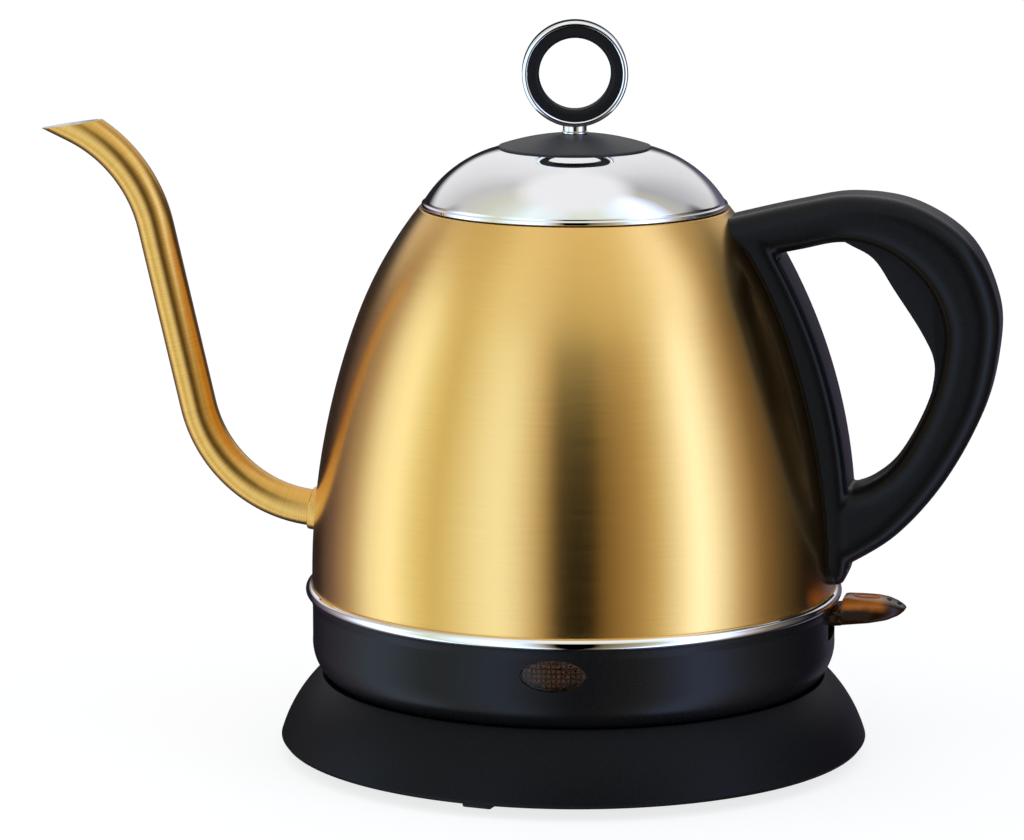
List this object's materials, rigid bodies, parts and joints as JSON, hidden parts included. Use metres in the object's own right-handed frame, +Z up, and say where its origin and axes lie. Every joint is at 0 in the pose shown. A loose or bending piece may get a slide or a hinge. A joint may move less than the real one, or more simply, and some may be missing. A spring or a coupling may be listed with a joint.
{
  "type": "gooseneck kettle",
  "caption": "Cordless electric gooseneck kettle with brushed gold body, chrome lid and trim, black handle and round power base.",
  "frame": {"origin": "on the table, on the common axis of the kettle and its power base", "axes": "+Z up, +X towards the handle, -X towards the spout, indicator window on the -Y side"},
  "size_m": [0.2634, 0.1601, 0.1991],
  "materials": {
    "gold_steel": "gold-toned stainless steel with fine level brushing",
    "chrome": "polished",
    "steel": "bare stainless steel",
    "black_plastic": "satin moulded black",
    "cap_plastic": "fine matt texture",
    "amber_plastic": "tinted see-through amber",
    "smoked_lens": "dark smoked amber with a prism grid",
    "liner_rubber": "fine grained grip",
    "foot_rubber": "matt",
    "seal_silicone": "translucent white",
    "brass": "bare",
    "aluminium": "cast",
    "inner_plastic": "heat-proof, uncoloured",
    "lamp_glass": "clear tinted",
    "wire_cover": "silicone insulation"
  },
  "bodies": {
    "base": {"base_cover": "black_plastic", "base_plate": "black_plastic", "base_feet": "foot_rubber", "base_screws": "steel", "cord_gland": "foot_rubber", "power_hub": "black_plastic", "base_contacts": "brass"},
    "socket": {"socket_shroud": "black_plastic", "contact_rings": "brass"},
    "kettle": {"body_shell": "gold_steel", "trim_ring": "chrome", "heater_plate": "steel", "steam_tube": "steel", "diffuser_plate": "aluminium", "heating_element": "aluminium", "control_body": "inner_plastic", "bimetal_discs": "steel", "control_screws": "steel", "steam_cup": "inner_plastic", "steam_bimetal": "steel", "switch_block": "inner_plastic", "switch_pin": "steel", "switch_spring": "steel", "housing_shell": "black_plastic", "housing_screws": "steel", "indicator_lens": "smoked_lens", "lamp_holder": "inner_plastic", "lamp_bulb": "lamp_glass", "lead_wires": "wire_cover", "spout_tube": "gold_steel", "spout_collar": "gold_steel", "handle_nuts": "steel", "handle_screws": "steel", "handle_body": "black_plastic", "handle_cover": "black_plastic", "grip_liner": "liner_rubber"},
    "lever": {"switch_lever": "amber_plastic"},
    "lid_ring": {"lid_seal": "seal_silicone"},
    "lid": {"lid_dome": "chrome", "lid_inner": "steel", "lid_cap": "cap_plastic", "knob_ring": "chrome", "knob_insert": "black_plastic", "knob_screw": "steel"}
  },
  "joints": [
    {"name": "kettle_lift", "type": "slide", "parent": "base", "child": "socket", "axis": [0, 0, 1], "range_m": [0, 0.1]},
    {"name": "kettle_turn", "type": "hinge", "parent": "socket", "child": "kettle", "pos_m": [0, 0, 0.02], "axis": [0, 0, 1], "continuous": true},
    {"name": "switch_press", "type": "hinge", "parent": "kettle", "child": "lever", "pos_m": [0.06, 0, 0.04], "axis": [0, 1, 0], "range_deg": [0, 10]},
    {"name": "lid_lift", "type": "slide", "parent": "kettle", "child": "lid_ring", "axis": [0, 0, 1], "range_m": [0, 0.08]},
    {"name": "lid_turn", "type": "hinge", "parent": "lid_ring", "child": "lid", "pos_m": [0, 0, 0.15], "axis": [0, 0, 1], "continuous": true}
  ]
}
